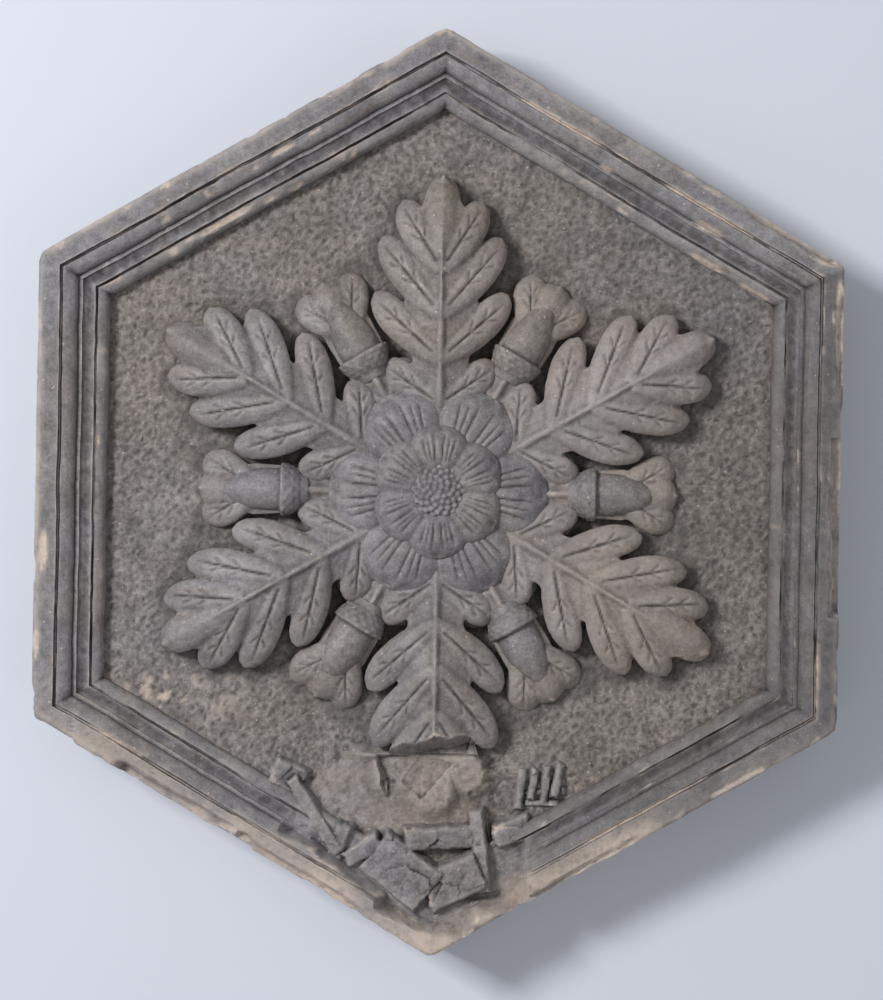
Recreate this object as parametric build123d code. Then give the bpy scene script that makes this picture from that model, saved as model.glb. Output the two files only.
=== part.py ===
"""Hexagonal marble relief tile, carved from one block.

The tile lies on its flat back. Its face is a sunk hexagonal field inside a moulded
border: a flat listel, an ovolo, a cavetto and a roll. A foliage rosette stands up from the
field: a domed boss, two rows of petals, a large lobed leaf towards every corner, and an
acorn on a smaller leaf towards every flat side. Spalls show where the marble has broken,
and broken slabs stand over the mouldings at the bottom.

Millimetres. The origin is the middle of the back, +Z comes out of the carved face and
+Y points to the corner that is uppermost when the tile stands in a wall.
"""

import math
import os
from dataclasses import dataclass

from build123d import *

# Block
SIDES = 6
CORNER_TO_CORNER = 830.0
BLOCK_THICKNESS = 100.0
CORNER_WEAR = 5.0
ARRIS_WEAR = 3.0

# Border, from the outer faces inwards and from the listel down to the field
LISTEL_WIDTH = 19.0
LISTEL_QUIRK = 3.5
OVOLO_WIDTH = 15.0
OVOLO_DROP = 11.0
FILLET_WIDTH = 4.0
FILLET_DROP = 2.0
CAVETTO_WIDTH = 11.0
CAVETTO_SAG = 2.5
ROLL_QUIRK = 3.0
ROLL_WIDTH = 12.0
ROLL_DROP = 10.5
FIELD_DROP = 6.0

# Boss in the middle of the rosette
BOSS_RADIUS = 27.0
BOSS_HEIGHT = 50.0
BOSS_CROWN = 14.0

# Acorns on the small leaves
ACORN_START = 116.0
ACORN_AXIS_HEIGHT = 13.0
CUP_RADIUS = 24.0
CUP_LENGTH = 26.0
CUP_LIP = 4.0
NUT_LENGTH = 52.0
NUT_SHOULDER = 24.0
CUP_FOOT_RADIUS = 9.0
CUP_SHOULDER = 9.0

# How deep the carving is rooted below the field
ROOT_DEPTH = 12.0


@dataclass
class Blade:
    """Leaf or petal that points along +X. Heights are above the field."""

    root: float
    length: float
    root_width: float
    body_width: float
    root_height: float
    crest_height: float
    tip_height: float
    edge_drop: float
    lobe_lengths: tuple = ()
    lobe_breadth: float = 0.0
    end_lobe: float = 0.0
    groove_depth: float = 0.0


LARGE_LEAF = Blade(root=62, length=222, root_width=26, body_width=66, root_height=22,
                   crest_height=42, tip_height=22, edge_drop=22,
                   lobe_lengths=(62, 84, 88, 72), lobe_breadth=30, end_lobe=71,
                   groove_depth=6)
SMALL_LEAF = Blade(root=80, length=136, root_width=18, body_width=46, root_height=14,
                   crest_height=22, tip_height=10, edge_drop=11,
                   lobe_lengths=(46, 56), lobe_breadth=30)
OUTER_PETAL = Blade(root=24, length=74, root_width=14, body_width=76, root_height=26,
                    crest_height=38, tip_height=28, edge_drop=9)
INNER_PETAL = Blade(root=10, length=50, root_width=10, body_width=50, root_height=37,
                    crest_height=47, tip_height=40, edge_drop=7)

# A blade is widest and highest this far along
WIDEST_PLACE = 0.6

# Lobes spring from the midrib over this stretch of it, at angles that close towards the tip
FIRST_LOBE_PLACE = 0.08
LAST_LOBE_PLACE = 0.62
FIRST_LOBE_ANGLE = 62.0
LAST_LOBE_ANGLE = 38.0

# Breaks in the face: side, place along it, distance in from the outer face, depth of the
# break, its length along the side and its width, its turn, and its slopes along and across
SPALLS = (
    (4, 178, 54, 27, 74, 58, 12, 4, -3),
    (4, 108, 50, 25, 84, 40, -6, -3, 4),
    (4, 58, 46, 19, 46, 26, 9, 5, 6),
    (4, 204, 84, 29, 80, 50, 30, -3, 2),
    (5, -150, 54, 26, 78, 50, -8, 3, -4),
    (5, -98, 44, 18, 44, 24, 14, -5, 5),
    (4, 134, 127, 28, 84, 70, 40, 8, -4),
    (0, -25, 0, 12, 150, 12, 1.5, 2, 3),
    (0, 140, 0, 8, 80, 7, -1, -2, 4),
    (1, -150, 0, 7, 90, 8, 1, 3, -3),
    (4, -60, 0, 12, 110, 13, 2, 4, 3),
    (4, 70, 0, 9, 130, 10, -2, -3, -3),
    (5, -60, 0, 6, 130, 9, 1, 2, 2),
)

# Broken slabs at the bottom: middle in plan, length, width and height above the field, turn,
# and slopes along and across
SLABS = (
    (-106, -292, 78, 11, 19, -57, 3, 4),
    (-130, -258, 30, 24, 12, -24, -5, 3),
    (-84, -316, 34, 13, 19, 72, 6, -7),
    (-62, -322, 36, 14, 18, 33, -6, 6),
    (-28, -341, 62, 42, 19, -37, 4, 6),
    (8, -311, 62, 19, 18, 4, -4, 9),
    (20, -350, 52, 33, 22, 26, 6, -5),
    (43, -322, 74, 11, 19, -83, 3, 6),
    (72, -304, 32, 20, 14, 20, -6, 4),
    (79, -266, 34, 6, 7, 84, 2, 5),
    (90, -262, 28, 6, 8, 80, -2, -5),
    (101, -263, 36, 6, 7, 86, 3, 4),
    (112, -258, 30, 6, 8, 78, -2, 3),
)

SECTOR = 360 / SIDES
APOTHEM = CORNER_TO_CORNER / 2 * math.cos(math.pi / SIDES)

LISTEL_INNER = APOTHEM - LISTEL_WIDTH
OVOLO_INNER = LISTEL_INNER - OVOLO_WIDTH
FILLET_INNER = OVOLO_INNER - FILLET_WIDTH
CAVETTO_INNER = FILLET_INNER - CAVETTO_WIDTH
FIELD_APOTHEM = CAVETTO_INNER - ROLL_WIDTH

OVOLO_TOP = BLOCK_THICKNESS - LISTEL_QUIRK
FILLET_TOP = OVOLO_TOP - OVOLO_DROP
CAVETTO_TOP = FILLET_TOP - FILLET_DROP
ROLL_TOP = CAVETTO_TOP - ROLL_QUIRK
ROLL_LOW = ROLL_TOP - ROLL_DROP
FIELD = ROLL_LOW - FIELD_DROP
ROOT_FLOOR = FIELD - ROOT_DEPTH


def tile_section():
    """Section of the tile from its centre to the middle of an outer face."""
    with BuildSketch(Plane.XZ) as section:
        with BuildLine():
            Polyline((0, FIELD), (0, 0), (APOTHEM, 0), (APOTHEM, BLOCK_THICKNESS - ARRIS_WEAR),
                     (APOTHEM - ARRIS_WEAR, BLOCK_THICKNESS), (LISTEL_INNER, BLOCK_THICKNESS),
                     (LISTEL_INNER, OVOLO_TOP))
            RadiusArc((LISTEL_INNER, OVOLO_TOP), (OVOLO_INNER, FILLET_TOP), OVOLO_WIDTH)
            Polyline((OVOLO_INNER, FILLET_TOP), (FILLET_INNER, FILLET_TOP),
                     (FILLET_INNER, CAVETTO_TOP))
            ThreePointArc((FILLET_INNER, CAVETTO_TOP),
                          (FILLET_INNER - CAVETTO_WIDTH / 2, CAVETTO_TOP - CAVETTO_SAG),
                          (CAVETTO_INNER, CAVETTO_TOP))
            Line((CAVETTO_INNER, CAVETTO_TOP), (CAVETTO_INNER, ROLL_TOP))
            RadiusArc((CAVETTO_INNER, ROLL_TOP), (FIELD_APOTHEM, ROLL_LOW), ROLL_WIDTH)
            Polyline((FIELD_APOTHEM, ROLL_LOW), (FIELD_APOTHEM, FIELD), (0, FIELD))
        make_face()
    return section.sketch


def block():
    """Moulded hexagonal block: one mitred sector, repeated round the centre."""
    half_side = CORNER_TO_CORNER * math.tan(math.radians(SECTOR / 2))
    strip = extrude(tile_section(), amount=half_side, both=True)
    corners = ((0, 0), (CORNER_TO_CORNER, -half_side), (CORNER_TO_CORNER, half_side))
    wedge = extrude(make_face(Polyline(*corners, close=True)), amount=BLOCK_THICKNESS)
    first, *others = round_the_centre(strip & wedge, 0)
    outline = RegularPolygon(CORNER_TO_CORNER / 2, SIDES, rotation=SECTOR / 2)
    worn = fillet(outline.vertices(), CORNER_WEAR)
    return first.fuse(*others).clean() & extrude(worn, amount=BLOCK_THICKNESS)


def round_the_centre(shape, first_angle):
    """One copy of a shape for every side of the hexagon."""
    return [Rot(0, 0, first_angle + SECTOR * side) * shape for side in range(SIDES)]


def lobe_roots(blade):
    """Place on the midrib, angle and length of each lobe on one side of a leaf."""
    last = len(blade.lobe_lengths) - 1
    for number, length in enumerate(blade.lobe_lengths):
        share = number / last
        place = FIRST_LOBE_PLACE + (LAST_LOBE_PLACE - FIRST_LOBE_PLACE) * share
        angle = FIRST_LOBE_ANGLE + (LAST_LOBE_ANGLE - FIRST_LOBE_ANGLE) * share
        yield blade.root + blade.length * place, angle, length


def outline(blade):
    """Outline of a blade: a body of two arcs, with a round-ended finger for every lobe."""
    tip = (blade.root + blade.length, 0)
    widest = blade.root + blade.length * WIDEST_PLACE
    with BuildSketch() as sketch:
        with BuildLine():
            for side in (1, -1):
                corner = (blade.root, side * blade.root_width / 2)
                Line((blade.root, 0), corner)
                ThreePointArc(corner, (widest, side * blade.body_width / 2), tip)
        make_face()
        for x, angle, length in lobe_roots(blade):
            for side in (1, -1):
                with Locations(Location((x, 0), side * angle)):
                    with Locations((length / 2, 0)):
                        SlotOverall(length, blade.lobe_breadth)
        if blade.end_lobe:
            with Locations((tip[0] - blade.end_lobe / 2, 0)):
                SlotOverall(blade.end_lobe, blade.lobe_breadth)
    return sketch.sketch


def crest_circle(blade):
    """Centre and radius of the arc through a blade's root, crest and tip heights."""
    crest = Edge.make_three_point_arc(
        (blade.root, 0, FIELD + blade.root_height),
        (blade.root + blade.length * WIDEST_PLACE, 0, FIELD + blade.crest_height),
        (blade.root + blade.length, 0, FIELD + blade.tip_height),
    )
    return crest.arc_center, crest.radius


def carved_blade(blade):
    """Leaf or petal: its outline, topped by a ridged rim that curves along its midrib."""
    plan = outline(blade)
    half_width = plan.bounding_box().max.Y
    centre, radius = crest_circle(blade)
    edge = radius - blade.edge_drop
    with BuildPart() as wheel:
        with BuildSketch(Plane.YZ):
            with BuildLine():
                Polyline((-half_width, edge), (-half_width, 0), (half_width, 0),
                         (half_width, edge), (0, radius), close=True)
            make_face()
        revolve(axis=Axis.Y)
    column = Pos(0, 0, ROOT_FLOOR) * extrude(plan, amount=BLOCK_THICKNESS)
    solid = column & (Pos(*centre) * wheel.part)
    if blade.groove_depth:
        solid -= grooves(blade, half_width)
    return solid


def grooves(blade, half_width):
    """Notches between the lobes, deeper from the midrib outwards."""
    roots = list(lobe_roots(blade))
    depth = blade.groove_depth
    cutters = []
    for near, far in zip(roots, roots[1:]):
        for side in (1, -1):
            turn = side * (near[1] + far[1]) / 2
            shallow = on_top(blade, half_width, (near[0] + far[0]) / 2, turn, 0.2 * near[2])
            deep = on_top(blade, half_width, (near[0] + far[0]) / 2, turn, 0.75 * near[2])
            deep -= Vector(0, 0, depth)
            run = (deep - shallow) * 1.5
            across = Plane(shallow, x_dir=Vector(-run.Y, run.X, 0), z_dir=run)
            notch = make_face(Polyline((0, 0), (-2 * depth, 3 * depth), (2 * depth, 3 * depth),
                                       close=True))
            cutters.append(extrude(across * notch, amount=run.length, dir=run))
    return cutters


def on_top(blade, half_width, start, angle, distance):
    """Point of a blade's rim surface, at a distance from the midrib along a lobe's direction."""
    centre, radius = crest_circle(blade)
    x = start + distance * math.cos(math.radians(angle))
    y = distance * math.sin(math.radians(angle))
    rim = radius - blade.edge_drop * abs(y) / half_width
    return Vector(x, y, centre.Z + math.sqrt(rim**2 - (x - centre.X) ** 2))


def acorn():
    """Turned acorn with its cup, lying along +X on its small leaf."""
    nut_radius = CUP_RADIUS - CUP_LIP
    nut_end = CUP_LENGTH + NUT_LENGTH
    with BuildPart() as turned:
        with BuildSketch(Plane.XZ):
            with BuildLine():
                Polyline((0, 0), (0, CUP_FOOT_RADIUS), (CUP_SHOULDER, CUP_RADIUS - CUP_LIP / 2),
                         (CUP_LENGTH, CUP_RADIUS), (CUP_LENGTH, nut_radius),
                         (CUP_LENGTH + NUT_SHOULDER, nut_radius), (nut_end, 0), close=True)
            make_face()
        revolve(axis=Axis.X)
    return Pos(ACORN_START, 0, FIELD + ACORN_AXIS_HEIGHT) * turned.part


def boss():
    """Domed seed head in the middle of the rosette."""
    crown_top = FIELD + BOSS_HEIGHT
    shoulder = crown_top - BOSS_CROWN
    dome_radius = (BOSS_RADIUS**2 + BOSS_CROWN**2) / (2 * BOSS_CROWN)
    with BuildPart() as dome:
        with BuildSketch(Plane.XZ):
            with BuildLine():
                Polyline((0, crown_top), (0, ROOT_FLOOR), (BOSS_RADIUS, ROOT_FLOOR),
                         (BOSS_RADIUS, shoulder))
                RadiusArc((0, crown_top), (BOSS_RADIUS, shoulder), dome_radius)
            make_face()
        revolve(axis=Axis.Z)
    return dome.part


def spall(side, along, inwards, depth, length, width, turn, rise, lean):
    """Block that leaves one flat break in the carved face."""
    breaker = Box(width, length, BLOCK_THICKNESS, align=(Align.CENTER, Align.CENTER, Align.MIN))
    place = Pos(APOTHEM - inwards, along, BLOCK_THICKNESS - depth) * Rot(0, 0, turn)
    return Rot(0, 0, SECTOR * side) * place * Rot(rise, lean, 0) * breaker


def slab(x, y, length, width, height, turn, rise, lean):
    """Broken slab that is rooted in the block, with a flat, sloping top."""
    stump = Box(length, width, height + ROOT_DEPTH,
                align=(Align.CENTER, Align.CENTER, Align.MAX))
    return Pos(x, y, FIELD + height) * Rot(0, 0, turn) * Rot(lean, -rise, 0) * stump


def relief_tile():
    """The whole tile as one solid."""
    to_corners = SECTOR / 2
    carving = boss().fuse(
        *round_the_centre(carved_blade(LARGE_LEAF), to_corners),
        *round_the_centre(carved_blade(SMALL_LEAF) + acorn(), 0),
        *round_the_centre(carved_blade(OUTER_PETAL), 0),
        *round_the_centre(carved_blade(INNER_PETAL), to_corners),
    )
    broken = block().fuse(carving).cut(*[spall(*place) for place in SPALLS])
    return broken.fuse(*[slab(*place) for place in SLABS])


if __name__ == "__main__":
    os.makedirs("parts", exist_ok=True)
    export_step(relief_tile(), "parts/relief_tile.step")
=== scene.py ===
"""Weathered hexagonal marble relief tile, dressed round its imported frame.

Lengths are in metres, and MM turns millimetres into them. The tile lies on its back on
the floor, its carved face towards +Z and its uppermost corner towards +Y.
"""

import math

import bpy
import numpy as np
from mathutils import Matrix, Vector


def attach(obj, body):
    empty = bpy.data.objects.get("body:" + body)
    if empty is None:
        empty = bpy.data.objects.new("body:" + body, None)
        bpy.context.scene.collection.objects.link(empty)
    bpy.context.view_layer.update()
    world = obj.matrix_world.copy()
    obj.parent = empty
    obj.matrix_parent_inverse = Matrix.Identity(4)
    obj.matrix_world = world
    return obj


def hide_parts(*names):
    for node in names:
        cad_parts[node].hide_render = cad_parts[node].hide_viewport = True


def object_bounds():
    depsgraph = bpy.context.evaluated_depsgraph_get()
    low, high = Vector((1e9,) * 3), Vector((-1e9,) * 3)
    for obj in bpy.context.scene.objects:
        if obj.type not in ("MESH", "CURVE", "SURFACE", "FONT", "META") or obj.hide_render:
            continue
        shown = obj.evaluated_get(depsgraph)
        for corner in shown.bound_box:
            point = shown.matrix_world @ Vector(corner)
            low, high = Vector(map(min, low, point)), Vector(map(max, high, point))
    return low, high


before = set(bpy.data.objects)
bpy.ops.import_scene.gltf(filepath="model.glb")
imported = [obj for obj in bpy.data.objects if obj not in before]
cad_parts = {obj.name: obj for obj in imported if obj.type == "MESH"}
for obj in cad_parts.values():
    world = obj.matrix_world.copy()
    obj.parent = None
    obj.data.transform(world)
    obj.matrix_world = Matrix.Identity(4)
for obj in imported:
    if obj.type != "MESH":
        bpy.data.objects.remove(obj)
CAD_LOW, CAD_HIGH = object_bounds()

bl_info = {
    "name": "Weathered Marble Relief Tile",
    "version": (1, 0, 0),
    "blender": (4, 5, 0),
    "location": "3D View > Sidebar > Relief Tile",
    "description": "Carves and weathers a hexagonal marble tile with a foliage rosette",
    "category": "Object",
}

MM = 0.001
SIDES = 6
SECTOR = 2 * math.pi / SIDES
APOTHEM = CAD_HIGH[0]
FACE_LEVEL = 100 * MM
NODE = "relief_tile"
BODY = "root"
SHARP_ANGLE = math.radians(50)
# Rounds of smoothing, and how far a point then stands out for full wear, or lies deep for full
# grime and painted shade
SHARP_RELIEF, BROAD_RELIEF = (3, 0.45 * MM), (24, 2.2 * MM)
# Numbers of the colour sockets of Blender's Mix node
COLOUR_A, COLOUR_B, COLOUR_RESULT = 6, 7, 2

# Heights of the border's steps, down from the listel's face
LISTEL_QUIRK = 3.5 * MM
OVOLO_DROP = 11 * MM
FILLET_DROP = 2 * MM
CAVETTO_SAG = 2.5 * MM
ROLL_QUIRK = 3 * MM
ROLL_DROP = 10.5 * MM
FIELD_DROP = 6 * MM
FIELD_LEVEL = (FACE_LEVEL - LISTEL_QUIRK - OVOLO_DROP - FILLET_DROP - ROLL_QUIRK - ROLL_DROP
               - FIELD_DROP)

# Breaks in the face, as the tile's solid has them: side, place along it, distance in from
# the outer face, depth, length and width in millimetres, then turn and slopes in degrees
BREAKS = (
    (4, 178, 54, 27, 74, 58, 12, 4, -3),
    (4, 108, 50, 25, 84, 40, -6, -3, 4),
    (4, 58, 46, 19, 46, 26, 9, 5, 6),
    (4, 204, 84, 29, 80, 50, 30, -3, 2),
    (5, -150, 54, 26, 78, 50, -8, 3, -4),
    (5, -98, 44, 18, 44, 24, 14, -5, 5),
    (4, 134, 127, 28, 84, 70, 40, 8, -4),
    (0, -25, 0, 12, 150, 12, 1.5, 2, 3),
    (0, 140, 0, 8, 80, 7, -1, -2, 4),
    (1, -150, 0, 7, 90, 8, 1, 3, -3),
    (4, -60, 0, 12, 110, 13, 2, 4, 3),
    (4, 70, 0, 9, 130, 10, -2, -3, -3),
    (5, -60, 0, 6, 130, 9, 1, 2, 2),
)
BREAK_WALL_SLOPE = 2.8
BREAK_STEP = 2.2 * MM
BREAK_RIM = 1.5 * MM
FRESH_BREAK_REACH = 22 * MM

# Flakes lost from the arrises: side, place along it, distance in from the outer face,
# length, width and depth in millimetres
FLAKES = (
    (2, 49, 54, 62, 7, 1.8), (2, 104, 54, 11, 8, 1.6), (2, 84, 53, 12, 5, 1.2),
    (2, 6, 56, 12, 6, 1.4), (2, -20, 58, 16, 5, 1.3), (2, -26, 25, 22, 5, 1.4),
    (2, 2, 27, 8, 4, 1.1), (2, 94, 28, 9, 6, 1.4), (2, 51, 27, 5, 7, 1.2),
    (2, -60, 24, 12, 4, 1.2), (1, -78, 20, 106, 3, 1.2), (1, 75, 20, 90, 3, 1.0),
    (1, -86, 33, 30, 7, 1.6), (1, -100, 59, 42, 5, 1.6), (1, -150, 60, 34, 5, 1.5),
    (1, 20, 34, 16, 4, 1.2), (1, -12, 58, 14, 4, 1.2), (0, 154, 4, 88, 9, 2.6),
    (3, 60, 8, 40, 9, 1.0), (3, -40, 52, 10, 5, 1.2), (4, -130, 21, 60, 3, 1.0),
    (5, 20, 21, 130, 3, 1.0), (5, 110, 4, 60, 6, 1.2), (3, 140, 3, 30, 5, 1.6),
)

# How far the cracks are sunk, and how wide they and their filling are
CRACK_DEPTH, CRACK_WIDTH = 1.1 * MM, 1.5 * MM

# Mended cracks across the border: both ends in plan, in millimetres
CRACKS = (
    (-324, -190, -321, -262), (-286, -160, -257, -238), (-250, -249, -248, -300),
    (-250, 275, -249, 215), (246, 236, 247, 206), (300, -25, 362, -29),
    (-205, 262, -201, 305), (150, -335, 168, -300), (-318, 96, -300, 99),
)


# Patches of the field: middle in plan, and half of the length and of the width, in millimetres
MORTAR_PATCH = (-22, -268, 84, 42)
RUBBED_PATCH = (-238, -190, 66, 44)
# Line, across the tile, below which the lowest leaf's tip has gone and its scar is filled
SCAR_LINE = -233 * MM


class Blade:
    """Leaf or petal that points along +X, with the solid's own sizes in millimetres."""

    def __init__(self, root, length, root_width, body_width, heights, edge_drop, lobes=(),
                 lobe_breadth=0):
        self.root = root * MM
        self.length = length * MM
        self.root_width = root_width * MM
        self.body_width = body_width * MM
        self.root_height, self.crest_height, self.tip_height = [h * MM for h in heights]
        self.edge_drop = edge_drop * MM
        self.lobes = [length * MM for length in lobes]
        self.lobe_breadth = lobe_breadth * MM


LARGE_LEAF = Blade(62, 222, 26, 66, (22, 42, 22), 22, lobes=(62, 84, 88, 72), lobe_breadth=30)
SMALL_LEAF = Blade(80, 136, 18, 46, (14, 22, 10), 11, lobes=(46, 56), lobe_breadth=30)
OUTER_PETAL = Blade(24, 74, 14, 76, (26, 38, 28), 9)
INNER_PETAL = Blade(10, 50, 10, 50, (37, 47, 40), 7)
CREST_PLACE = 0.6
LEAF_STEP = 3.5 * MM
# Where lobes and petals begin to round off, as a share of their length
ROUND_START = 0.62
# How a lobe swells, bends forward, laps over the one before and rolls down at rim and tip
LOBE_PILLOW, LOBE_BEND = 3.4 * MM, 0.14
LOBE_LAP, LOBE_ROLL, LOBE_TIP_DROP = 2.6 * MM, 3.6 * MM, 7 * MM
MIDRIB_HALF_WIDTH, MIDRIB_HEIGHT, MIDRIB_SINK = 4.6 * MM, 4.4 * MM, 1 * MM
# How a petal's sides rise, its middle is creased, its face ripples and its rim rolls down
PETAL_CUP, PETAL_CREASE, PETAL_RIPPLE, PETAL_ROLL = 2.5 * MM, 2.4 * MM, 0.9 * MM, 5 * MM
VEIN_WIDTH, PETAL_VEIN_WIDTH, PETAL_VEIN_DEPTH = 1.5 * MM, 1.3 * MM, 1.5 * MM
FIRST_LOBE_PLACE, LAST_LOBE_PLACE = 0.08, 0.62
FIRST_LOBE_ANGLE, LAST_LOBE_ANGLE = math.radians(62), math.radians(38)


def linear(text):
    """Linear colour of an sRGB hex value."""
    parts = [int(text[i:i + 2], 16) / 255 for i in (1, 3, 5)]
    return [c / 12.92 if c <= 0.04045 else ((c + 0.055) / 1.055) ** 2.4 for c in parts]


def length(name, default, text):
    """A length property."""
    return bpy.props.FloatProperty(name=name, default=default, unit="LENGTH", description=text)


def colour(name, default, text):
    """A colour property."""
    return bpy.props.FloatVectorProperty(name=name, subtype="COLOR", size=3, min=0, max=1,
                                         default=linear(default), description=text)


class TileSizes(bpy.types.PropertyGroup):
    """Sizes of the tile's carving and wear."""

    listel_width: length("Listel width", 19 * MM, "Flat outer band of the border")
    ovolo_width: length("Ovolo width", 15 * MM, "Rounded band inside the listel")
    fillet_width: length("Fillet width", 4 * MM, "Narrow step inside the ovolo")
    cavetto_width: length("Cavetto width", 11 * MM, "Slightly hollow band")
    roll_width: length("Roll width", 12 * MM, "Rounded band next to the field")
    border_step: length("Border step", 1.8 * MM, "Spacing of the border's mesh")
    field_step: length("Field step", 1.6 * MM, "Spacing of the field's mesh")
    back_step: length("Back step", 6 * MM, "Spacing of the back's mesh")
    carving_step: length("Carving step", 1.5 * MM, "Voxel size of the carved foliage")
    peck_length: length("Peck length", 9 * MM, "Length of one chisel peck in the field")
    peck_width: length("Peck width", 5 * MM, "Width of one chisel peck")
    peck_depth: length("Peck depth", 1.6 * MM, "Depth of one chisel peck")
    chip_depth: length("Chip depth", 4 * MM, "Depth of the worst chips along the arrises")


class TileColours(bpy.types.PropertyGroup):
    """Colours of the marble and of the floor that it lies on."""

    cool: colour("Cool patina", "#7a777b", "Blue-grey patina of the mouldings and leaves")
    warm: colour("Warm patina", "#7c736d", "Brown-grey patina, mostly on the field")
    rust: colour("Brown stains", "#7d6250", "Brown stains along the mouldings")
    # Dark colour of the hollows: grime, and painted shade
    soot_and_shade: colour("Soot", "#2b2826", "Dirt that stays in the hollows")
    dust: colour("Dust", "#9d9893", "Rubbed and dusty high places")
    bare: colour("Bare marble", "#c2b1a3", "Bare stone in chips and on worn arrises")
    floor: colour("Floor", "#d0d4de", "Pale floor")


def deselect():
    """Leave nothing selected, in object mode."""
    if bpy.context.object and bpy.context.object.mode != "OBJECT":
        bpy.ops.object.mode_set(mode="OBJECT")
    bpy.ops.object.select_all(action="DESELECT")


def pick(piece):
    """Make a piece the active one and the only one selected."""
    deselect()
    piece.select_set(True)
    bpy.context.view_layer.objects.active = piece


def read(piece):
    """Vertices and their normals."""
    mesh = piece.data
    points = np.empty(len(mesh.vertices) * 3)
    mesh.vertices.foreach_get("co", points)
    normals = np.empty(len(mesh.vertices) * 3)
    mesh.vertex_normals.foreach_get("vector", normals)
    return points.reshape(-1, 3), normals.reshape(-1, 3)


def write(piece, points):
    """Move the vertices, and keep them in the solid's box."""
    points = np.clip(points, np.array(CAD_LOW), np.array(CAD_HIGH))
    piece.data.vertices.foreach_set("co", points.ravel())
    piece.data.update()


def edit(piece, mode=(True, False, False)):
    """Edit mode with everything selected."""
    pick(piece)
    bpy.ops.object.mode_set(mode="EDIT")
    bpy.context.tool_settings.mesh_select_mode = mode
    bpy.ops.mesh.select_all(action="SELECT")


def choose(piece, elements, mask, mode):
    """Select exactly the masked vertices, edges or faces, and enter edit mode."""
    edit(piece, mode)
    bpy.ops.mesh.select_all(action="DESELECT")
    bpy.ops.object.mode_set(mode="OBJECT")
    elements.foreach_set("select", mask)
    bpy.ops.object.mode_set(mode="EDIT")


def drop_faces(piece, mask):
    """Delete the masked faces."""
    choose(piece, piece.data.polygons, mask, (False, False, True))
    bpy.ops.mesh.delete(type="FACE")
    bpy.ops.object.mode_set(mode="OBJECT")


def face_centres(piece):
    """Middle of every face."""
    centres = np.empty(len(piece.data.polygons) * 3)
    piece.data.polygons.foreach_get("center", centres)
    return centres.reshape(-1, 3)


def join(pieces, name):
    """One object from several."""
    deselect()
    for piece in pieces:
        piece.select_set(True)
    bpy.context.view_layer.objects.active = pieces[0]
    bpy.ops.object.join()
    pieces[0].name = pieces[0].data.name = name
    return pieces[0]


def copies_round(piece, count, first_angle):
    """Copies of a piece with their own meshes, turned round the tile's centre."""
    copies = []
    points, _ = read(piece)
    for number in range(count):
        angle = first_angle + number * 2 * math.pi / count
        copy = piece.copy()
        copy.data = piece.data.copy()
        bpy.context.collection.objects.link(copy)
        write(copy, turned(points, angle))
        copies.append(copy)
    bpy.data.objects.remove(piece)
    return copies


def turned(points, angle):
    """Points turned about the tile's axis, by one angle or by an angle each."""
    x, y = points[:, 0], points[:, 1]
    return np.column_stack((x * np.cos(angle) - y * np.sin(angle),
                            x * np.sin(angle) + y * np.cos(angle), points[:, 2]))


def hashed(cell, seed):
    """Steady random numbers from 0 to 1 for whole-numbered cells."""
    mixed = seed * 26544357
    for column, prime in zip(cell.T, (73856093, 19349663, 83492791)):
        mixed = mixed ^ column * prime
    mixed = (mixed ^ mixed >> 13) * 1274126177 & 0x7FFFFFFF
    return ((mixed ^ mixed >> 15) & 0xFFFF) / 65535


def lattice_noise(points, size, seed):
    """Smooth noise from -1 to 1 that changes over about one size."""
    places = points / size
    cell = np.floor(places).astype(np.int64)
    part = places - cell
    part = part * part * (3 - 2 * part)
    total = np.zeros(len(points))
    for step in np.ndindex(2, 2, 2):
        weight = np.prod(np.where(step, part, 1 - part), axis=1)
        total += weight * (2 * hashed(cell + np.array(step), seed) - 1)
    return total


def fractured(points, size, seed):
    """Heights from about -1 to 1 of flat, tilted flakes, each about one size wide."""
    places = points[:, :2] / size
    cell = np.floor(places).astype(np.int64)
    nearest = np.full(len(points), 9.0)
    height = np.zeros(len(points))
    for step in np.ndindex(3, 3):
        at = cell + np.array(step) - 1
        chance = [hashed(at, seed + number) for number in range(5)]
        away = places - at - np.column_stack(chance[:2])
        distance = np.hypot(away[:, 0], away[:, 1])
        flake = (2 * chance[2] - 1) * 0.6
        flake += away[:, 0] * (2 * chance[3] - 1) + away[:, 1] * (2 * chance[4] - 1)
        height = np.where(distance < nearest, flake, height)
        nearest = np.minimum(nearest, distance)
    return height


def rough_noise(points, size, seed, octaves=3):
    """Noise from -1 to 1 in layers, each half as large and as strong as the one before."""
    total = np.zeros(len(points))
    for octave in range(octaves):
        total += lattice_noise(points, size / 2**octave, seed + octave) / 2**octave
    return total / (2 - 2 / 2**octaves)


def neighbours(piece):
    """Both ends of every edge."""
    ends = np.empty(len(piece.data.edges) * 2, dtype=np.int64)
    piece.data.edges.foreach_get("vertices", ends)
    return ends.reshape(-1, 2)


def smoothed(values, ends, rounds):
    """Vertex values, averaged with their neighbours again and again."""
    count = np.bincount(ends.ravel(), minlength=len(values))[:, None] + 1
    for _ in range(rounds):
        total = values.copy()
        for column in range(values.shape[1]):
            total[:, column] += np.bincount(ends[:, 0], values[ends[:, 1], column], len(values))
            total[:, column] += np.bincount(ends[:, 1], values[ends[:, 0], column], len(values))
        values = total / count
    return values


def paint(piece, name, values):
    """Store a number for every vertex."""
    layer = piece.data.attributes.new(name, "FLOAT", "POINT")
    layer.data.foreach_set("value", np.clip(values, 0, 1) * np.ones(len(layer.data)))


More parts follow.
